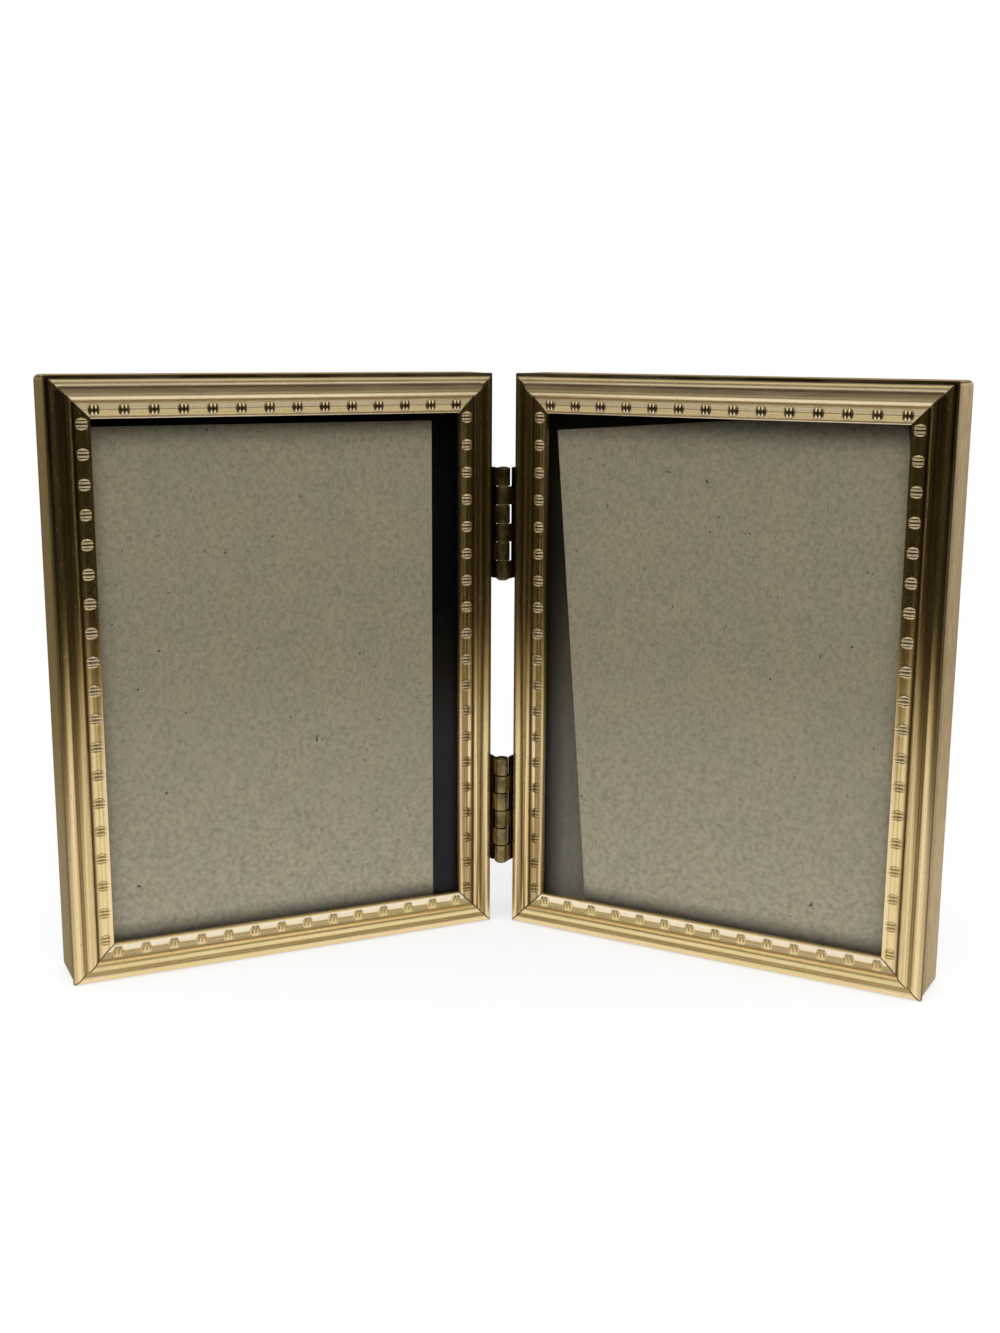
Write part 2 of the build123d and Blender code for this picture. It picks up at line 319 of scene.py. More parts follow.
def side_point(side, s, m, v):
    """A point on one side of a panel: s along it from its middle, m in from its outer wall."""
    places = {
        "bottom_rail": (PANEL_WIDTH / 2 + s, m),
        "top_rail": (PANEL_WIDTH / 2 - s, PANEL_HEIGHT - m),
        "outer_stile": (PANEL_WIDTH - m, PANEL_HEIGHT / 2 + s),
        "hinge_stile": (m, PANEL_HEIGHT / 2 - s),
    }
    u, z = places[side]
    return (u, v, z)


def arc(centre, radius, start, end, steps):
    """Points on an arc, with its angles in degrees."""
    angles = [math.radians(start + (end - start) * i / steps) for i in range(steps + 1)]
    return [(centre[0] + radius * math.cos(a), centre[1] + radius * math.sin(a)) for a in angles]


def offset(outline, distance):
    """A closed outline moved inwards (to the left of its direction) by a distance."""
    moved = []
    for i, point in enumerate(outline):
        before = Vector(point) - Vector(outline[i - 1])
        after = Vector(outline[(i + 1) % len(outline)]) - Vector(point)
        first = Vector((-before.y, before.x)).normalized()
        second = Vector((-after.y, after.x)).normalized()
        mean = (first + second).normalized()
        reach = distance / max(SHARPEST_TURN, mean.dot(first))
        moved.append((point[0] + mean.x * reach, point[1] + mean.y * reach))
    return moved


def between(low, high, share):
    """The value that lies a share of the way from low to high."""
    return low + (high - low) * share


def smooth_bump(distance, width):
    """One at no distance, falling smoothly to nothing a few widths away."""
    return math.exp(-((distance / width) ** 2))


def smooth_step(value, low, high):
    """From nothing at low to one at high."""
    share = min(1.0, max(0.0, (value - low) / (high - low)))
    return share * share * (3 - 2 * share)


def smooth_max(first, second, blend):
    """The larger of two heights, rounded where they cross."""
    return 0.5 * (first + second + math.sqrt((first - second) ** 2 + blend ** 2))


class Shell:
    """Corners, faces and surface values gathered for one piece."""

    def __init__(self):
        self.points = []
        self.faces = []
        self.rail = []
        self.values = {name: [] for name in SURFACE_VALUES}

    def add(self, point, rail=(0, 0), **values):
        """Add a corner with its place along and across the rail, and give its number."""
        self.points.append(point)
        self.rail.append((rail[0], rail[1], 0))
        for name, column in self.values.items():
            column.append(values.get(name, 0.0))
        return len(self.points) - 1

    def skin(self, loops):
        """Faces between neighbouring closed loops of corner numbers, with a cap on each end."""
        for near, far in zip(loops, loops[1:]):
            for i in range(len(near)):
                j = (i + 1) % len(near)
                self.faces.append((near[i], near[j], far[j], far[i]))
        self.faces.append(tuple(reversed(loops[0])))
        self.faces.append(tuple(loops[-1]))


def slab(shell, outline, place, low, high, edge, ends=0.0, **surface):
    """A flat plate of an outline, with rounded edges and dirt with painted shade on its two ends.

    place turns (x, y, depth) into a panel point.
    """
    inner = offset(outline, edge)
    soft = offset(outline, edge * EDGE_SOFT)
    levels = [
        (inner, low),
        (soft, low + edge * EDGE_SOFT),
        (outline, low + edge),
        (outline, low + EDGE_SUPPORT * edge),
        (outline, high - EDGE_SUPPORT * edge),
        (outline, high - edge),
        (soft, high - edge * EDGE_SOFT),
        (inner, high),
    ]
    loops = []
    for points, depth in levels:
        # The end faces take dirt with painted shade
        dirt = ends if points is inner else 0.0
        loops.append([shell.add(place(x, y, depth), cavity=dirt, **surface) for x, y in points])
    shell.skin(loops)


def turned(shell, profile, place, steps):
    """A turned piece from (along, radius) points between two ends.

    place turns (along, x, y) into a panel point.
    """
    angles = [2 * math.pi * i / steps for i in range(steps)]
    loops = []
    for along, radius in profile:
        ring = [place(along, radius * math.cos(a), radius * math.sin(a)) for a in angles]
        loops.append([shell.add(point) for point in ring])
    shell.skin(loops)


def dome(base, top, radius, steps=5):
    """Profile of a rounded rivet head that rises from base to top."""
    rise = top - base
    angles = [math.radians(DOME_SWEEP * i / steps) for i in range(steps + 1)]
    return [(base + rise * math.sin(a) / math.sin(angles[-1]), radius * math.cos(a)) for a in angles]


def end_for_end(profile):
    """A profile turned round, so that it points the other way."""
    return [(-along, radius) for along, radius in reversed(profile)]


def lay_grain(mesh):
    """A UV map whose U runs the way the metal blurs: across the drawn rails, along them on the reels."""
    flow = mesh.uv_layers.new(name="flow")
    rail = mesh.attributes["rail"].data
    stamped = mesh.attributes["stamped"].data
    for face in mesh.polygons:
        on_reel = sum(stamped[i].value for i in face.vertices) > len(face.vertices) / 2
        for index in face.loop_indices:
            along, across, _ = rail[mesh.loops[index].vertex_index].vector
            place = (along, across) if on_reel else (across, along)
            flow.data[index].uv = (place[0] * GRAIN_SCALE, place[1] * GRAIN_SCALE)


def finish_piece(name, shell, hand, body, material, replaced):
    """Make the object, put it in the standing frame and hang it on its body."""
    mesh = bpy.data.meshes.new(name)
    mesh.from_pydata(shell.points, [], shell.faces)
    rail = mesh.attributes.new("rail", "FLOAT_VECTOR", "POINT")
    rail.data.foreach_set("vector", [number for row in shell.rail for number in row])
    for value, column in shell.values.items():
        mesh.attributes.new(value, "FLOAT", "POINT").data.foreach_set("value", column)
    mesh.transform(panel_matrix(hand))
    shaped = bmesh.new()
    shaped.from_mesh(mesh)
    bmesh.ops.remove_doubles(shaped, verts=shaped.verts, dist=MERGE_DISTANCE)
    bmesh.ops.dissolve_degenerate(shaped, edges=shaped.edges, dist=MERGE_DISTANCE)
    bmesh.ops.recalc_face_normals(shaped, faces=shaped.faces)
    shaped.to_mesh(mesh)
    shaped.free()
    lay_grain(mesh)
    mesh.shade_smooth()
    mesh.set_sharp_from_angle(angle=math.radians(SHARP_ANGLE))
    mesh.materials.append(material)
    piece = bpy.data.objects.new(name, mesh)
    bpy.context.scene.collection.objects.link(piece)
    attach(piece, body)
    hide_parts(replaced)


# Moulding


def reed(start, width, rise, steps):
    """A rounded reed that leaves its start straight forward and rolls over to its far edge."""
    radius = (width ** 2 + rise ** 2) / (2 * width)
    end = math.degrees(math.atan2(rise, width - radius))
    return arc((start[0] + radius, start[1]), radius, 180, end, steps)


def outer_front():
    """The sheet's outer side from the ledge round the hem and wall to the groove, as m and v."""
    fold = SHEET - WALL_DEPTH
    hem = 2 * SHEET
    tip = SHEET / 2
    floor = BAND_V - GROOVE_DEPTH
    outline = arc((LEDGE_REACH - tip, tip - LEDGE_DEPTH), tip, 90, -90, steps=6)
    outline += arc((hem + BEND_RADIUS, -LEDGE_DEPTH - BEND_RADIUS), BEND_RADIUS, 90, 180, steps=6)
    outline += arc((SHEET, fold), SHEET, 0, -180, steps=12)
    outline += [(0, fold * share) for share in WALL_ROWS]
    outline += [(0, -CORNER_FRONT), (0, CORNER_STEP - CORNER_FRONT)]
    outline += reed((0, 0), OUTER_REED_WIDTH, OUTER_REED_RISE, steps=22)
    outline += reed((INNER_REED_START, VALLEY_V), INNER_REED_WIDTH, INNER_REED_RISE, steps=20)
    outline += [(GROOVE_START + GROOVE_LEAN, floor), (GROOVE_FLOOR_M, floor)]
    return outline


def outer_inside():
    """The sheet's inner side, back from the groove to the ledge."""
    return [
        (GROOVE_FLOOR_M, BAND_V - GROOVE_DEPTH - SHEET),
        (INNER_REED_START - SHEET / 2, OUTER_REED_RISE - SHEET),
        (SHEET, 0),
        (SHEET, SHEET - LEDGE_DEPTH),
    ]


def lengths_along(outline):
    """Distance along an outline to each of its points."""
    total = 0.0
    along = [0.0]
    for near, far in zip(outline, outline[1:]):
        total += math.dist(near, far)
        along.append(total)
    return along


def corner_share(m, v):
    """How far a point of the section follows the rounded corners: fully on the outer wall."""
    if v > -CORNER_FRONT or (m > 0 and v > SHEET - WALL_DEPTH):
        return 0.0
    return max(0.0, 1 - m / (2 * SHEET))


def tarnish_and_shade_at(side, height):
    """How tarnished the brass of a side is at a height, with painted shade in how it changes between sides
    and with height.
    """
    return between(*SIDE_TARNISH_AND_SHADE[side], height / PANEL_HEIGHT)


def moulding_dirt_and_shade(side, m, v, height):
    """Dirt with painted shade in the creases of the reeds and along the wall's front edge, and painted
    shade on their outer flanks, heavier towards the top.
    """
    kind = side.split("_")[1]
    upper = smooth_step(height, *CREASE_HEIGHTS)
    crease = ((OUTER_REED_WIDTH + INNER_REED_START) / 2, VALLEY_V)
    floor = (GROOVE_FLOOR_M, BAND_V - GROOVE_DEPTH)
    valley = smooth_bump(math.dist((m, v), crease), VALLEY_DIRT_AND_SHADE_WIDTH) * between(*VALLEY_DIRT_AND_SHADE[kind], upper)
    groove = smooth_bump(math.dist((m, v), floor), GROOVE_DIRT_AND_SHADE_WIDTH) * GROOVE_DIRT_AND_SHADE[kind]
    edge = smooth_bump(math.dist((m, v), EDGE_DIRT_AND_SHADE_PLACE), EDGE_DIRT_AND_SHADE_WIDTH) * between(*EDGE_DIRT_AND_SHADE, upper)
    # The outer flanks darken with painted shade, more higher up
    flank = 0.0
    if v >= 0:
        start, reach, flank = OUTER_FLANK_SHADE if m < INNER_REED_START else INNER_FLANK_SHADE
        flank *= (1 - smooth_step(m - start, reach / 2, reach)) * smooth_step(height, *FLANK_HEIGHTS)
    if side == "hinge_stile":
        flank *= HINGE_FLANK_SHADE
    return max(valley, groove, flank, edge)


def outer_surface(side, m, v, height, inset, wall_wear_and_light):
    """What the walls and reeds are like at a point of the section, some way in from the mitre."""
    surface = {"aged": tarnish_and_shade_at(side, height), "worn": FACE_HIGHLIGHT.get(side, 0.0)}
    # Walls paler higher up: wear and painted light
    if v < 0 and m < SHEET / 2:
        upper = smooth_step(height, *WALL_WEAR_AND_LIGHT_HEIGHTS)
        surface["worn"] = wall_wear_and_light * between(LOW_WALL_SHARE, 1.0, upper)
    surface["wall"] = 1.0 if v < 0 else max(0.0, 1 - m / WALL_FADE_WIDTH)
    mitre = MITRE_DIRT * smooth_bump(inset, MITRE_DIRT_WIDTH)
    # Dirt with painted shade from the creases, or the dark mitre joint
    surface["cavity"] = max(moulding_dirt_and_shade(side, m, v, height), mitre)
    return surface


def add_outer_moulding(shell, side, wall_wear_and_light):
    """The walls and reeds of one side, mitred at both ends and rounded at the wall's corners."""
    half = SIDE_LENGTHS[side] / 2 - MITRE_GAP
    middle = math.sin(math.radians(45))
    insets = [0.0, MITRE_WEAR, *CORNER_STATIONS, CORNER_ROUND * middle]
    stations = [(-1, inset) for inset in insets] + [(1, inset) for inset in reversed(insets)]
    front = outer_front()
    outline = front + outer_inside()
    along = lengths_along(outline)
    loops = []
    for end, inset in stations:
        turn = math.asin(max(0.0, middle - inset / CORNER_ROUND))
        loop = []
        for index, ((m, v), length) in enumerate(zip(outline, along)):
            drop = MITRE_WEAR if inset == 0 and v > MITRE_WEAR_FRONT else 0
            share = corner_share(m, v) * CORNER_ROUND
            s = end * (half - m - inset - share * (1 - middle))
            point = side_point(side, s, m + share * (1 - math.cos(turn)), v - drop)
            surface = outer_surface(side, m, v, point[2], inset, wall_wear_and_light)
            # The sheet's inner side is painted shade all over
            if index >= len(front):
                surface["cavity"] = 1.0
            loop.append(shell.add(point, (s, length), **surface))
        loops.append(loop)
    shell.skin(loops)


def reel_radius(x, slit):
    """Radius of a reel at a distance along its axis from its middle, with its slits of a depth."""
    x = abs(x)
    from_disc = abs(x - DISC_SPACING / 2)
    if from_disc < DISC_HALF:
        return REEL_RADIUS - DISC_CROWN * (from_disc / DISC_HALF) ** 2
    if x < FOOT_START:
        return REEL_RADIUS - slit
    taper = (x - FOOT_START) / (FOOT_END - FOOT_START)
    return REEL_RADIUS - between(FOOT_START_DROP, FOOT_END_DROP, taper)


def border_relief(m, x, filled):
    """Height of the border, with its crevices, its stamped reels and the lip side of the channel paler as
    a painted highlight.

    The slits of the reels run right across, or only over the crest where they are filled.
    """
    aside = abs(m - CREASE_M)
    channel = CREASE_V + (BAND_V - CREASE_V) * aside / (CREASE_M - BAND_START)
    cut = 1 - smooth_step(aside, *FILLED_SLIT) if filled else 1.0
    radius = reel_radius(x, between(DISC_CROWN, SLIT_DEPTH, cut))
    reel = REEL_TOP - REEL_RADIUS + math.sqrt(max(0.0, radius ** 2 - aside ** 2))
    on_reel = reel > channel
    off_discs = abs(abs(x) - DISC_SPACING / 2) >= DISC_HALF
    in_slit = on_reel and off_discs and abs(x) < FOOT_START
    foot = FOOT_DIRT * smooth_bump(reel - channel, FOOT_DIRT_WIDTH)
    surface = {
        "cavity": max(foot, SLIT_DIRT * cut if in_slit else 0.0),
        "stamped": 1.0 if on_reel else 0.0,
        # The channel's lip side made pale is a painted highlight
        "worn": 0.0 if on_reel else smooth_step(m - CREASE_M, 0.0, CHANNEL_HIGHLIGHT_WIDTH),
    }
    return smooth_max(channel, reel, RELIEF_BLEND), surface


def reel_count(length):
    """How many reels a side of a length has."""
    return int((length - 2 * FACE_WIDTH) / REEL_PITCH) + 1


def border_stations(length):
    """Places along a side: close together on the reels, further apart between them."""
    count = reel_count(length)
    steps = round(STATION_CLOSE / STATION_FINE)
    offsets = [STATION_FINE * i for i in range(-steps, steps + 1)]
    spread = REEL_PITCH - 2 * STATION_CLOSE
    gaps = round(spread / STATION_COARSE)
    offsets += [STATION_CLOSE + spread * i / gaps for i in range(1, gaps)]
    places = []
    for reel in range(-1, count + 1):
        centre = (reel - (count - 1) / 2) * REEL_PITCH
        places += [centre + x for x in offsets]
    return sorted(places)


def border_section():
    """The band with its shoulder, lip and return onto the glass, as m and v, with no v on the band."""
    shoulder = [(GROOVE_FLOOR_M, BAND_V - GROOVE_DEPTH), (BAND_START - SHOULDER_M, BAND_V - SHOULDER_V)]
    band = [(BAND_START + (BAND_END - BAND_START) * i / BAND_ROWS, None) for i in range(BAND_ROWS + 1)]
    lip = arc((FACE_WIDTH - LIP_ROUND, BAND_V - LIP_ROUND), LIP_ROUND, 90, 0, steps=5)
    inside = [
        (FACE_WIDTH, GLASS_FRONT),
        (FACE_WIDTH - SHEET, GLASS_FRONT),
        (FACE_WIDTH - SHEET, BAND_V - SHEET),
        (GROOVE_FLOOR_M, BAND_V - GROOVE_DEPTH - SHEET),
    ]
    return shoulder + band + lip + inside


def add_border(shell, side):
    """The band of one side with its reels, its lip and the return onto the glass.

    On the bottom rail the reels are filled, blur as the drawn metal does, and the lip side of the channel
    has a painted highlight. On the other sides the reels grow paler towards the top, by wear and painted
    highlight.
    """
    length = SIDE_LENGTHS[side]
    half = length / 2 - MITRE_GAP
    filled = side == "bottom_rail"
    section = border_section()
    inside = [s for s in border_stations(length) if abs(s) < half - GROOVE_FLOOR_M]
    first_reel = -(reel_count(length) - 1) * REEL_PITCH / 2
    loops = []
    for station in [-half] + inside + [half]:
        loop = []
        for index, (m, v) in enumerate(section):
            limit = half - m
            s = max(-limit, min(limit, station))
            surface = {"cavity": 0.0, "stamped": 0.0}
            if v is None:
                x = (s - first_reel + REEL_PITCH / 2) % REEL_PITCH - REEL_PITCH / 2
                v, surface = border_relief(m, x, filled)
            point = side_point(side, s, m, v)
            height = point[2]
            # Dirt in the slits and at the reels' feet, heavier higher up as painted shade, beside the
            # creases' dirt with painted shade and the dark mitre joint
            surface["cavity"] = max(
                surface["cavity"] * between(*REEL_DIRT_AND_SHADE, smooth_step(height, *REEL_DIRT_AND_SHADE_HEIGHTS)),
                moulding_dirt_and_shade(side, m, v, 0.0),
                MITRE_DIRT * smooth_bump(limit - abs(s), MITRE_DIRT_WIDTH),
            )
            if filled:
                surface["stamped"] = 0.0
            else:
                # Reels paler higher up: wear and painted highlight
                paler_reel = REEL_WEAR_AND_HIGHLIGHT * surface["stamped"] * smooth_step(height, *REEL_WEAR_AND_HIGHLIGHT_HEIGHTS)
                surface["worn"] = max(FACE_HIGHLIGHT.get(side, 0.0), paler_reel)
            rail = (s, index * BORDER_GRAIN_STEP + BORDER_GRAIN_START)
            loop.append(shell.add(point, rail, aged=tarnish_and_shade_at(side, height), **surface))
        loops.append(loop)
    shell.skin(loops)


def moulding(hand, side, material):
    """One mitred side of a panel."""
    shell = Shell()
    node = f"{hand}_{side}"
    add_outer_moulding(shell, side, WALL_WEAR_AND_LIGHT.get(node, OTHER_WALL_WEAR_AND_LIGHT))
    add_border(shell, side)
    finish_piece(node + "_moulding", shell, hand, hand + "_frame", material, node)


# Fittings


def knuckle_outline(notch):
    """A rolled knuckle end on, as u and v: up the wall, round the pin and back to the leaf."""
    centre = (AXIS_U, AXIS_V)
    bore = BARREL_RADIUS - LEAF_THICKNESS
    foot = notch - KNUCKLE_LAP
    return (
        [(-LEAF_THICKNESS, foot), (0, foot)]
        + arc(centre, BARREL_RADIUS, 0, KNUCKLE_WRAP, steps=40)
        + arc(centre, bore, KNUCKLE_WRAP, 0, steps=32)
    )


def hinge_leaf(level, hand, material):
    """One leaf: its plate on the wall and every second knuckle of the barrel."""
    shell = Shell()
    low = HINGE_HEIGHTS[level] - HINGE_LENGTH / 2
    high = low + HINGE_LENGTH
    back = LEAF_CORNER - LEAF_BACK
    notch = DEEP_NOTCH_V if (level, hand) == ("upper", "right") else LEAF_NOTCH_V
    plate = [(notch, low), (notch, high)]
    plate += arc((back, high - LEAF_CORNER), LEAF_CORNER, 90, 180, steps=8)
    plate += arc((back, low + LEAF_CORNER), LEAF_CORNER, 180, 270, steps=8)
    # The plate is marked as wall, which the hinge brass darkens near black as painted shadow
    slab(shell, plate, lambda v, z, u: (u, v, z), -LEAF_THICKNESS, 0, LEAF_EDGE, wall=1.0)
    knuckle = knuckle_outline(notch)
    length = (HINGE_LENGTH - (KNUCKLE_COUNT - 1) * KNUCKLE_GAP) / KNUCKLE_COUNT
    for k in range(0 if hand == "left" else 1, KNUCKLE_COUNT, 2):
        top = high - k * (length + KNUCKLE_GAP)
        # Each knuckle's ends get dirt with painted shade
        slab(shell, knuckle, lambda u, v, z: (u, v, z), top - length, top, KNUCKLE_EDGE, ends=1.0)
    node = f"{level}_hinge_{hand}_leaf"
    finish_piece(node + "_rolled", shell, hand, hand + "_frame", material, node)


def hinge_pin(level, material):
    """The pin with a domed head at each end."""
    shell = Shell()
    radius = BARREL_RADIUS - LEAF_THICKNESS - PIN_CLEARANCE
    lower = end_for_end(dome(KNUCKLE_GAP, KNUCKLE_GAP + PIN_HEAD_HEIGHT, PIN_HEAD_RADIUS))
    upper = dome(HINGE_LENGTH, HINGE_LENGTH + PIN_HEAD_HEIGHT, PIN_HEAD_RADIUS)
    profile = lower + [(-KNUCKLE_GAP, radius), (HINGE_LENGTH, radius)] + upper
    low = HINGE_HEIGHTS[level] - HINGE_LENGTH / 2
    turned(shell, profile, lambda along, x, y: (AXIS_U + x, AXIS_V + y, low + along), steps=28)
    node = f"{level}_hinge_pin"
    finish_piece(node + "_domed", shell, "left", "left_frame", material, node)


def hinge_rivets(hand, material):
    """The rivets that hold both leaves of a panel to its wall."""
    shell = Shell()
    inner = dome(SHEET, SHEET + HEAD_HEIGHT, LEAF_RIVET_HEAD)
    outer = end_for_end(dome(LEAF_THICKNESS, LEAF_THICKNESS + HEAD_HEIGHT, LEAF_RIVET_HEAD))
    profile = outer + [(-LEAF_THICKNESS, LEAF_RIVET_RADIUS), (SHEET, LEAF_RIVET_RADIUS)] + inner
    for height in HINGE_HEIGHTS.values():
        for i in (-1, 0, 1):
            z = height + i * LEAF_RIVET_SPACING
            turned(shell, profile, lambda along, x, y: (along, LEAF_RIVET_V + x, z + y), steps=20)
    node = hand + "_hinge_rivets"
    finish_piece(node + "_domed", shell, hand, hand + "_frame", material, node)


def button_rivets(hand, material):
    """The shouldered rivets that carry a panel's turn buttons."""
    shell = Shell()
    ledge_front = SHEET - LEDGE_DEPTH
    shoulder = PANEL_BACK - BUTTON_GAP + PIVOT_PLAY
    under_head = PANEL_BACK - BUTTON_GAP - BUTTON_THICKNESS - PIVOT_PLAY
    profile = [
        (ledge_front + HEAD_HEIGHT, PIVOT_HEAD),
        (ledge_front, PIVOT_HEAD),
        (ledge_front, PIVOT_RADIUS),
        (-LEDGE_DEPTH, PIVOT_RADIUS),
        (-LEDGE_DEPTH, PIVOT_HEAD),
        (shoulder, PIVOT_HEAD),
        (shoulder, PIVOT_RADIUS),
        (under_head, PIVOT_RADIUS),
    ]
    profile += [(under_head - rise, radius) for rise, radius in dome(0, HEAD_HEIGHT, PIVOT_HEAD)]
    for side in SIDE_LENGTHS:
        turned(shell, profile, lambda v, s, m: side_point(side, s, BUTTON_INSET + m, v), steps=24)
    node = hand + "_button_rivets"
    finish_piece(node + "_domed", shell, hand, hand + "_frame", material, node)


def turn_button(place, hand, material):
    """A tapered swivelling clip with rounded edges, pressed from sheet."""
    shell = Shell()
    reach = BUTTON_LENGTH - BUTTON_TIP
    lean = math.degrees(math.asin((BUTTON_HUB - BUTTON_TIP) / reach))
    outline = arc((0, BUTTON_INSET), BUTTON_HUB, 180 - lean, 360 + lean, steps=24)
    outline += arc((0, BUTTON_INSET + reach), BUTTON_TIP, lean, 180 - lean, steps=14)
    front = PANEL_BACK - BUTTON_GAP
    back = front - BUTTON_THICKNESS
    side = BUTTON_SIDES[place]
    slab(shell, outline, lambda s, m, v: side_point(side, s, m, v), back, front, BUTTON_EDGE)
    node = f"{hand}_{place}_turn_button"
    finish_piece(node + "_pressed", shell, hand, node, material, node)


# Materials


class Nodes:
    """A node tree with short calls for the nodes used here."""

    def __init__(self, tree):
        self.tree = tree

    def node(self, kind, **settings):
        made = self.tree.nodes.new(kind)
        for name, value in settings.items():
            setattr(made, name, value)
        return made

    def feed(self, socket, value):
        """Set a number or colour on a socket, or link an output to it."""
        if isinstance(value, tuple):
            socket.default_value = (*value, 1)
        elif isinstance(value, (int, float)):
            socket.default_value = value
        else:
            self.tree.links.new(value, socket)

    def attribute(self, name, output="Fac"):
        return self.node("ShaderNodeAttribute", attribute_name=name).outputs[output]

    def place(self, output="Object"):
        return self.node("ShaderNodeTexCoord").outputs[output]

    def axes(self, vector):
        """The outputs X, Y and Z of a vector."""
        made = self.node("ShaderNodeSeparateXYZ")
        self.feed(made.inputs[0], vector)
        return made.outputs

    def rays(self):
        """The outputs that tell what kind of ray meets a surface."""
        return self.node("ShaderNodeLightPath").outputs

    def scaled(self, vector, scale):
        made = self.node("ShaderNodeMapping")
        made.inputs["Scale"].default_value = scale
        self.feed(made.inputs["Vector"], vector)
        return made.outputs["Vector"]

    def noise(self, vector, scale, detail, roughness, distortion=0.0):
        made = self.node("ShaderNodeTexNoise")
        self.feed(made.inputs["Vector"], vector)
        self.feed(made.inputs["Scale"], scale)
        self.feed(made.inputs["Detail"], detail)
        self.feed(made.inputs["Roughness"], roughness)
        self.feed(made.inputs["Distortion"], distortion)
        return made.outputs["Fac"]

    def ramp(self, value, low, high, start=0.0, end=1.0):
        """Map a value from low..high to start..end, kept within them."""
        made = self.node("ShaderNodeMapRange")
        self.feed(made.inputs["Value"], value)
        self.feed(made.inputs["From Min"], low)
        self.feed(made.inputs["From Max"], high)
        self.feed(made.inputs["To Min"], start)
        self.feed(made.inputs["To Max"], end)
        return made.outputs["Result"]

    def math(self, operation, *values):
        made = self.node("ShaderNodeMath", operation=operation)
        for socket, value in zip(made.inputs, values):
            self.feed(socket, value)
        return made.outputs[0]

    def mix(self, factor, first, second, kind="RGBA"):
        made = self.node("ShaderNodeMix", data_type=kind)
        self.feed(made.inputs["Factor"], factor)
        self.feed(made.inputs["A"], first)
        self.feed(made.inputs["B"], second)
        return made.outputs["Result"]

    def emission(self, colour):
        made = self.node("ShaderNodeEmission")
        self.feed(made.inputs["Color"], colour)
        return made.outputs[0]

    def mix_shaders(self, factor, first, second):
        made = self.node("ShaderNodeMixShader")
        for socket, value in zip(made.inputs, (factor, first, second)):
            self.feed(socket, value)
        return made.outputs[0]


class Surface(Nodes):
    """The nodes of a new material, with its shader."""

    def __init__(self, name):
        self.material = bpy.data.materials.new(name)
        self.material.use_nodes = True
        super().__init__(self.material.node_tree)
        self.shader = self.tree.nodes["Principled BSDF"]

    def set(self, name, value):
        self.feed(self.shader.inputs[name], value)

    def bump(self, height, strength, distance):
        made = self.node("ShaderNodeBump")
        self.feed(made.inputs["Strength"], strength)
        self.feed(made.inputs["Distance"], distance)
        self.feed(made.inputs["Height"], height)
        self.set("Normal", made.outputs["Normal"])

    def show(self, output):
        """Give the material another shader than its own."""
        self.feed(self.tree.nodes["Material Output"].inputs["Surface"], output)


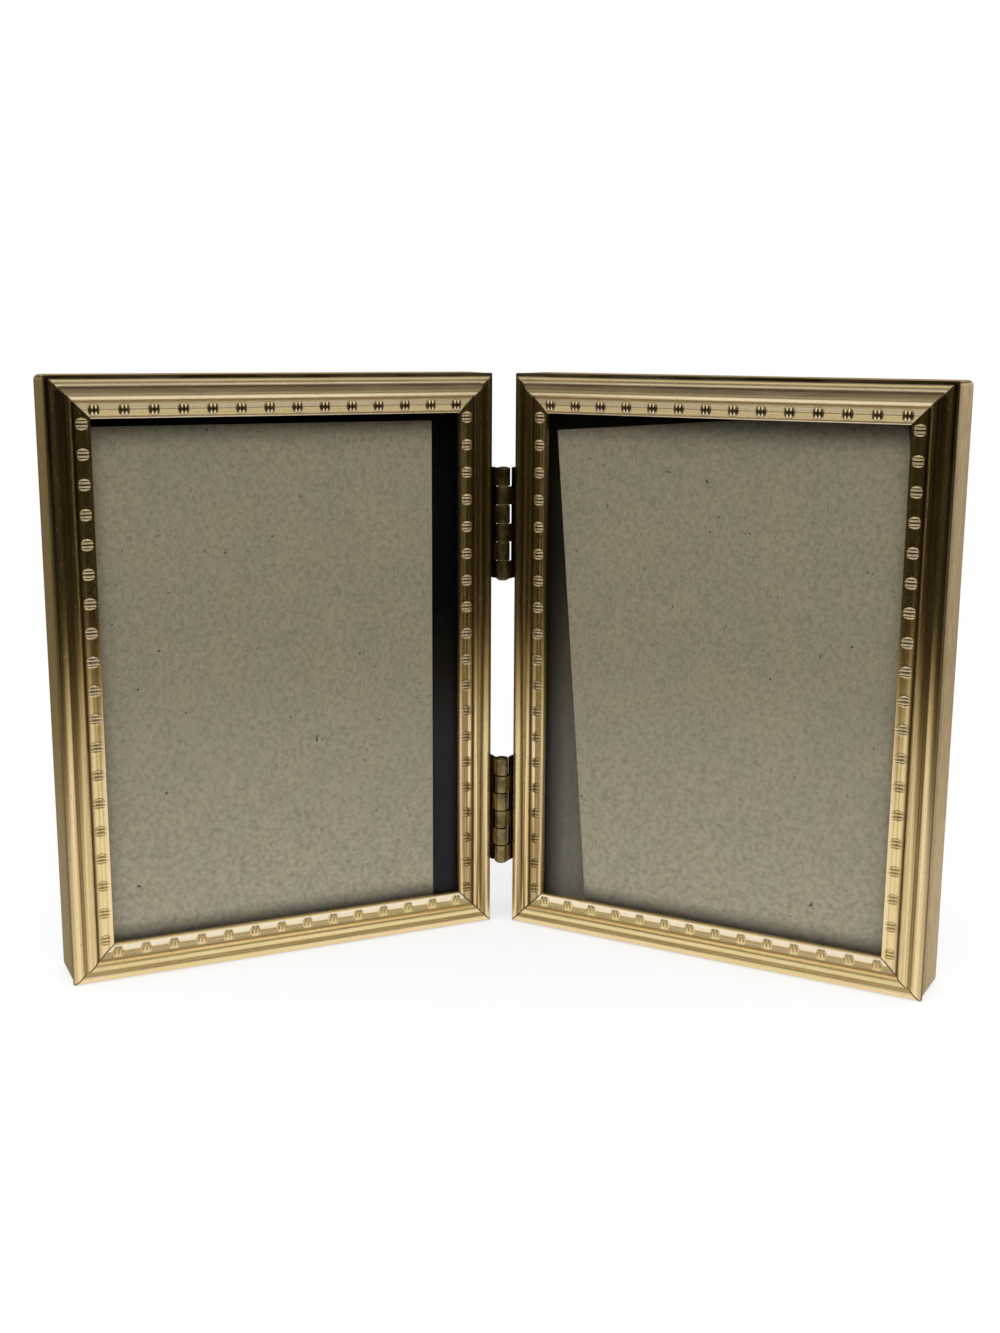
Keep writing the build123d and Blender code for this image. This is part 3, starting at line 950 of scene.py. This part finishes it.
def moulding_brass():
    """Pale polished brass with drawn streaks, worn lacquer, dark specks and dirt in the creases, with
    painted shade laid on with the dirt and tarnish, and painted light with the wear.
    """
    nodes = Surface("moulding_brass")
    rail = nodes.attribute("rail", "Vector")
    wall = nodes.attribute("wall")
    worn = nodes.attribute("worn")

    def drawn(along, across, detail, roughness, distortion=0.0):
        return nodes.noise(nodes.scaled(rail, (along, across, 1)), 1.0, detail, roughness, distortion)

    streaks = drawn(0.02, 2.2, detail=6, roughness=0.6)
    clouds = drawn(0.05, 0.35, detail=5, roughness=0.6, distortion=0.4)
    tints = drawn(0.012, 0.8, detail=3, roughness=0.5)
    bands = drawn(0.006, 0.75, detail=4, roughness=0.6, distortion=0.2)
    patches = drawn(0.12, 0.5, detail=6, roughness=0.7, distortion=0.3)
    speckled = nodes.ramp(drawn(0.8, 1.5, detail=5, roughness=0.7), low=0.62, high=0.7)
    # Tarnish streaks, weighted by side and height as painted shade
    tarnish = nodes.math("MULTIPLY", nodes.ramp(bands, low=0.44, high=0.58), nodes.attribute("aged"))
    # Walls made pale by wear and painted light
    paler_wall = nodes.math("MULTIPLY", worn, nodes.ramp(patches, low=0.4, high=0.6, start=0.6, end=1.0))
    deep = nodes.ramp(clouds, low=0.25, high=0.6, start=0.85, end=1.0)
    # Dirt together with painted shade
    dirt = nodes.math("MULTIPLY", nodes.attribute("cavity"), deep)

    colour = nodes.mix(nodes.ramp(clouds, low=0.35, high=0.7), BRASS_PALE, BRASS_DEEP)
    colour = nodes.mix(nodes.ramp(tints, low=0.42, high=0.62, end=0.6), colour, BRASS_ROSY)
    colour = nodes.mix(nodes.ramp(tints, low=0.5, high=0.34, end=0.6), colour, BRASS_GREENISH)
    colour = nodes.mix(tarnish, colour, BRASS_TARNISHED)
    # Made pale by wear with painted light and painted highlight
    colour = nodes.mix(nodes.math("MULTIPLY", worn, RUBBED_AND_LIT_SHARE), colour, BRASS_RUBBED_AND_LIT)
    wall_colour = nodes.mix(paler_wall, WALL_DULL, WALL_BARE_AND_LIT)
    colour = nodes.mix(nodes.math("MULTIPLY", wall, DULL_SHARE), colour, wall_colour)
    colour = nodes.mix(nodes.math("MULTIPLY", speckled, SPECK_SHARE), colour, BRASS_SPECK)
    nodes.set("Base Color", nodes.mix(dirt, colour, BRASS_DIRT_AND_SHADE))

    rough = nodes.ramp(streaks, low=0.3, high=0.75, start=0.18, end=0.25)
    rough = nodes.math("ADD", rough, nodes.math("MULTIPLY", wall, WALL_ROUGHER))
    rough = nodes.math("ADD", rough, nodes.math("MULTIPLY", dirt, DIRT_AND_SHADE_ROUGHER))
    nodes.set("Roughness", rough)
    nodes.set("Metallic", nodes.ramp(wall, low=0.0, high=1.0, start=1.0, end=0.3))
    nodes.set("Specular IOR Level", 0.1)
    nodes.set("Anisotropic", 1.0)
    tangent = nodes.node("ShaderNodeTangent", direction_type="UV_MAP", uv_map="flow")
    nodes.set("Tangent", tangent.outputs[0])
    unstamped = nodes.math("SUBTRACT", 1.0, nodes.attribute("stamped"))
    ridges = nodes.math("MULTIPLY", streaks, unstamped)
    height = nodes.math("SUBTRACT", ridges, nodes.math("MULTIPLY", speckled, SPECK_DEPTH))
    nodes.bump(height, strength=0.25, distance=0.0002)
    return nodes.material


def hinge_brass():
    """Brass gone brown: dull olive patina with worn brighter patches, painted shadow on the leaf plates
    and dirt with painted shade on the knuckles' ends.
    """
    nodes = Surface("hinge_brass")
    place = nodes.place()
    clouds = nodes.noise(place, scale=190, detail=5, roughness=0.6)
    grain = nodes.noise(nodes.scaled(place, (1, 1, 0.25)), scale=900, detail=4, roughness=0.6)
    # The leaf plate in painted shadow
    plate = nodes.math("MULTIPLY", nodes.attribute("wall"), PLATE_SHADOW_SHARE)
    colour = nodes.mix(nodes.ramp(clouds, low=0.35, high=0.68), HINGE_BROWN, HINGE_OLIVE)
    colour = nodes.mix(nodes.ramp(grain, low=0.55, high=0.75, end=0.6), colour, HINGE_GRAIN)
    colour = nodes.mix(plate, colour, HINGE_PLATE_SHADOW)
    nodes.set("Base Color", nodes.mix(nodes.attribute("cavity"), colour, HINGE_DIRT_AND_SHADE))
    nodes.set("Metallic", 1.0)
    nodes.set("Roughness", nodes.ramp(grain, low=0.3, high=0.7, start=0.2, end=0.34))
    nodes.bump(grain, strength=0.2, distance=0.0002)
    return nodes.material


def plain_steel():
    """Dull plated steel with fine scratches and a little brown staining."""
    nodes = Surface("plain_steel")
    place = nodes.place()
    clouds = nodes.noise(place, scale=160, detail=5, roughness=0.6)
    scratches = nodes.noise(nodes.scaled(place, (1, 1, 7)), scale=420, detail=5, roughness=0.65)
    painted_over = nodes.ramp(clouds, low=0.4, high=0.75)
    nodes.set("Base Color", nodes.mix(painted_over, STEEL_PLATED, STEEL_STAINED))
    nodes.set("Metallic", 1.0)
    nodes.set("Roughness", nodes.ramp(scratches, low=0.3, high=0.7, start=0.28, end=0.48))
    nodes.bump(scratches, strength=0.15, distance=0.0002)
    return nodes.material


# Painted light and painted shade on a board: a colour laid over it by the given amount, from where it is
# full to where the board is clean of it, in metres along a direction
PaintedShading = namedtuple("PaintedShading", "colour direction full clean amount")


def chipboard(name, painted_light, painted_shade):
    """Grey-brown pulp board with blotches, short fibres and flecks.

    The painted light lies under the fibres, and the painted shade over everything.
    """
    nodes = Surface(name)
    place = nodes.place()

    def painted_over(colour, shadings):
        for shading in shadings:
            along = nodes.node("ShaderNodeVectorMath", operation="DOT_PRODUCT")
            along.inputs[1].default_value = shading.direction
            nodes.feed(along.inputs[0], place)
            share = nodes.ramp(along.outputs["Value"], shading.full, shading.clean, start=shading.amount, end=0)
            colour = nodes.mix(share, colour, shading.colour)
        return colour

    blotches = nodes.noise(place, scale=60, detail=5, roughness=0.7, distortion=0.3)
    mottle = nodes.noise(place, scale=560, detail=5, roughness=0.7)
    stretched = nodes.scaled(place, (1, 1, 0.3))
    fibres = nodes.noise(stretched, scale=1700, detail=4, roughness=0.6, distortion=0.5)
    flecks = nodes.noise(place, scale=420, detail=2, roughness=0.5)
    colour = nodes.mix(nodes.ramp(blotches, low=0.4, high=0.62), CARD_GREY, CARD_BROWN)
    colour = painted_over(colour, painted_light)
    colour = nodes.mix(nodes.ramp(mottle, low=0.42, high=0.7, end=0.75), colour, CARD_DARK)
    colour = nodes.mix(nodes.ramp(fibres, low=0.5, high=0.8, end=0.5), colour, CARD_FIBRE)
    colour = nodes.mix(nodes.ramp(flecks, low=0.735, high=0.76), colour, CARD_FLECK)
    nodes.set("Base Color", painted_over(colour, painted_shade))
    nodes.set("Roughness", 0.9)
    nodes.set("Specular IOR Level", 0.25)
    nodes.bump(fibres, strength=0.3, distance=0.0003)
    return nodes.material


def filler_card():
    """The front cards, with painted light towards the table and painted shade along the foot and the head.
    """
    # Painted light low down, painted shade along the foot under the bottom lip and at the head under the
    # top rail
    painted_low_light = PaintedShading(CARD_PAINTED_LIGHT, UP, full=0.01, clean=0.1, amount=0.45)
    foot = PaintedShading(CARD_PAINTED_SHADE, UP, full=0.0125, clean=0.019, amount=0.9)
    head = PaintedShading(CARD_PAINTED_SHADE, UP, full=0.187, clean=0.177, amount=0.6)
    return chipboard("chipboard", [painted_low_light], [foot, head])


def backing_card():
    """The deep right card, with painted shade towards the top and under the hinge stile's lip."""
    outwards = panel_matrix("right").col[0].xyz.normalized()
    lip = outwards.dot(panel_matrix("right") @ Vector((FACE_WIDTH, 0, 0)))
    fade = 0.004
    # Both are painted shade: darker towards the top and in the hinge stile's shadow
    dark = PaintedShading(CARD_PAINTED_SHADE, UP, full=0.14, clean=-0.03, amount=0.97)
    shaded = PaintedShading(CARD_PAINTED_SHADE, outwards, full=lip - fade, clean=lip + fade, amount=0.95)
    return chipboard("chipboard_deep", [], [dark, shaded])


def black_board():
    """Black paper facing over fibreboard, scuffed a little."""
    nodes = Surface("black_board")
    place = nodes.place()
    scuffs = nodes.noise(nodes.scaled(place, (1, 1, 2.5)), scale=60, detail=6, roughness=0.7)
    grain = nodes.noise(place, scale=1300, detail=4, roughness=0.6)
    scuffed = nodes.ramp(scuffs, low=0.5, high=0.85)
    nodes.set("Base Color", nodes.mix(scuffed, BOARD_BLACK, BOARD_SCUFFED))
    nodes.set("Roughness", nodes.ramp(grain, low=0.3, high=0.7, start=0.65, end=0.8))
    nodes.set("Specular IOR Level", 0.05)
    nodes.bump(grain, strength=0.05, distance=0.0002)
    return nodes.material


def clear_glass():
    """Window glass that lets lamps through, with a faint film of dust."""
    nodes = Surface("clear_glass")
    film = nodes.noise(nodes.place(), scale=30, detail=5, roughness=0.65)
    nodes.set("Base Color", GLASS_TINT)
    nodes.set("Transmission Weight", 1.0)
    nodes.set("IOR", 1.2)
    nodes.set("Roughness", nodes.ramp(film, low=0.4, high=0.8, start=0.0, end=0.05))
    clear = nodes.node("ShaderNodeBsdfTransparent").outputs[0]
    nodes.show(nodes.mix_shaders(nodes.rays()["Is Shadow Ray"], nodes.shader.outputs[0], clear))
    return nodes.material


# Stage


def plain_sheet(name, corners, material):
    """A flat sheet of the stage."""
    mesh = bpy.data.meshes.new(name)
    mesh.from_pydata(corners, [], [tuple(range(len(corners)))])
    mesh.materials.append(material)
    sheet = bpy.data.objects.new(name, mesh)
    bpy.context.scene.collection.objects.link(sheet)
    return sheet


def pale_table():
    """A pale table that goes over to plain white away from the object, for the camera alone.

    Metal and glass mirror it as white near the object, tan further out and dark beyond.
    """
    nodes = Surface("pale_table")
    nodes.set("Base Color", TABLE_PALE)
    nodes.set("Roughness", 0.8)
    nodes.set("Specular IOR Level", 0.2)
    rays = nodes.rays()
    length = nodes.node("ShaderNodeVectorMath", operation="LENGTH")
    nodes.feed(length.inputs[0], nodes.place())
    away = length.outputs["Value"]
    far = nodes.ramp(away, low=0.1, high=0.32, start=0.6, end=1.0)
    whitened = nodes.math("MULTIPLY", rays["Is Camera Ray"], far)
    seen = nodes.mix_shaders(whitened, nodes.shader.outputs[0], nodes.emission(WHITE))
    tan = nodes.mix(nodes.ramp(away, low=0.26, high=0.42), WHITE, TABLE_TAN)
    dark = nodes.mix(nodes.ramp(away, low=0.42, high=0.6), tan, TABLE_DARK)
    nodes.show(nodes.mix_shaders(rays["Is Glossy Ray"], seen, nodes.emission(dark)))
    nodes.material.cycles.emission_sampling = "NONE"
    return nodes.material


def dim_room():
    """The room round the table, that only the metal and the glass mirror: dark low down."""
    nodes = Surface("dim_room")
    above = nodes.ramp(nodes.axes(nodes.place())["Z"], low=0.26, high=0.42)
    nodes.show(nodes.emission(nodes.mix(above, ROOM_DARK, ROOM_WARM)))
    nodes.material.cycles.emission_sampling = "NONE"
    return nodes.material


def overhead_lamp():
    """A soft box above the front of the table, which nothing mirrors."""
    data = bpy.data.lights.new("overhead", "AREA")
    data.shape = "RECTANGLE"
    data.size, data.size_y = LAMP_SIZE
    data.energy = LAMP_POWER
    lamp = bpy.data.objects.new("overhead", data)
    lamp.location = LAMP_PLACE
    facing = Vector(LAMP_TARGET) - Vector(LAMP_PLACE)
    lamp.rotation_euler = facing.to_track_quat("-Z", "Y").to_euler()
    lamp.visible_glossy = False
    bpy.context.scene.collection.objects.link(lamp)


def white_world():
    """White for the camera, in mirrors dim but for the front overhead, a plain fill for the rest."""
    world = bpy.data.worlds.new("studio")
    world.use_nodes = True
    nodes = Nodes(world.node_tree)
    rays = nodes.rays()
    direction = nodes.axes(nodes.place("Generated"))
    above = nodes.ramp(direction["Z"], low=0.25, high=0.5)
    front = nodes.ramp(direction["Y"], low=0.0, high=0.35, start=FRONT_GLOW, end=0.0)
    mirrored = nodes.math("MULTIPLY_ADD", above, front, REAR_GLOW)
    fill = nodes.mix(rays["Is Glossy Ray"], 1.0, mirrored, kind="FLOAT")
    strength = nodes.mix(rays["Is Camera Ray"], fill, 1.0, kind="FLOAT")
    background = nodes.tree.nodes["Background"]
    nodes.feed(background.inputs["Color"], WHITE)
    nodes.feed(background.inputs["Strength"], strength)
    bpy.context.scene.world = world


def build_stage():
    """Table, dim room, lamp and world."""
    reach = TABLE_REACH
    corners = [(-reach, -reach, 0), (reach, -reach, 0), (reach, reach, 0), (-reach, reach, 0)]
    plain_sheet("table", corners, pale_table())
    room = dim_room()
    places = arc((0, 0), ROOM_DISTANCE, -90 - ROOM_SPREAD, -90 + ROOM_SPREAD, ROOM_PANELS)
    for i, (near, far) in enumerate(zip(places, places[1:])):
        corners = [(*near, 0.0), (*far, 0.0), (*far, ROOM_HEIGHT), (*near, ROOM_HEIGHT)]
        sheet = plain_sheet(f"room_{i}", corners, room)
        sheet.visible_camera = False
        sheet.visible_diffuse = False
        sheet.visible_transmission = False
        sheet.visible_shadow = False
    overhead_lamp()
    white_world()


def build_camera():
    """The camera of the photograph."""
    data = bpy.data.cameras.new("photo_camera")
    data.sensor_width = SENSOR
    data.lens = FOCAL_PIXELS / IMAGE_HEIGHT * SENSOR
    camera = bpy.data.objects.new("photo_camera", data)
    camera.location = CAMERA_PLACE
    pitch, yaw, roll = (math.radians(value) for value in (CAMERA_PITCH, CAMERA_YAW, CAMERA_ROLL))
    level_share = math.cos(pitch)
    forward = Vector((math.sin(yaw) * level_share, math.cos(yaw) * level_share, -math.sin(pitch)))
    right = Vector((math.cos(yaw), -math.sin(yaw), 0))
    up = right.cross(forward)
    unrolled = Matrix((right, up, -forward)).transposed()
    camera.rotation_euler = (unrolled @ Matrix.Rotation(roll, 3, "Z")).to_euler()
    bpy.context.scene.collection.objects.link(camera)
    bpy.context.scene.camera = camera


# Assembly


def dress_node(name, material):
    """Give a CAD node that stays its finished material."""
    node = frame["nodes"][name]
    node.data.materials.clear()
    node.data.materials.append(material)


def build_object():
    """Every piece of the frame."""
    brass = moulding_brass()
    old_brass = hinge_brass()
    steel = plain_steel()
    card = filler_card()
    board = black_board()
    glass = clear_glass()
    for hand in HANDS:
        for side in SIDE_LENGTHS:
            moulding(hand, side, brass)
        for level in HINGE_HEIGHTS:
            hinge_leaf(level, hand, old_brass)
        hinge_rivets(hand, old_brass)
        button_rivets(hand, steel)
        for place in BUTTON_SIDES:
            turn_button(place, hand, steel)
        dress_node(hand + "_corner_plates", steel)
        dress_node(hand + "_glass_pane", glass)
        dress_node(hand + "_filler_card", card)
        dress_node(hand + "_back_panel", board)
    dress_node("right_backing_card", backing_card())
    for level in HINGE_HEIGHTS:
        hinge_pin(level, old_brass)


build_object()
build_stage()
build_camera()
bpy.context.scene.view_settings.view_transform = "Standard"
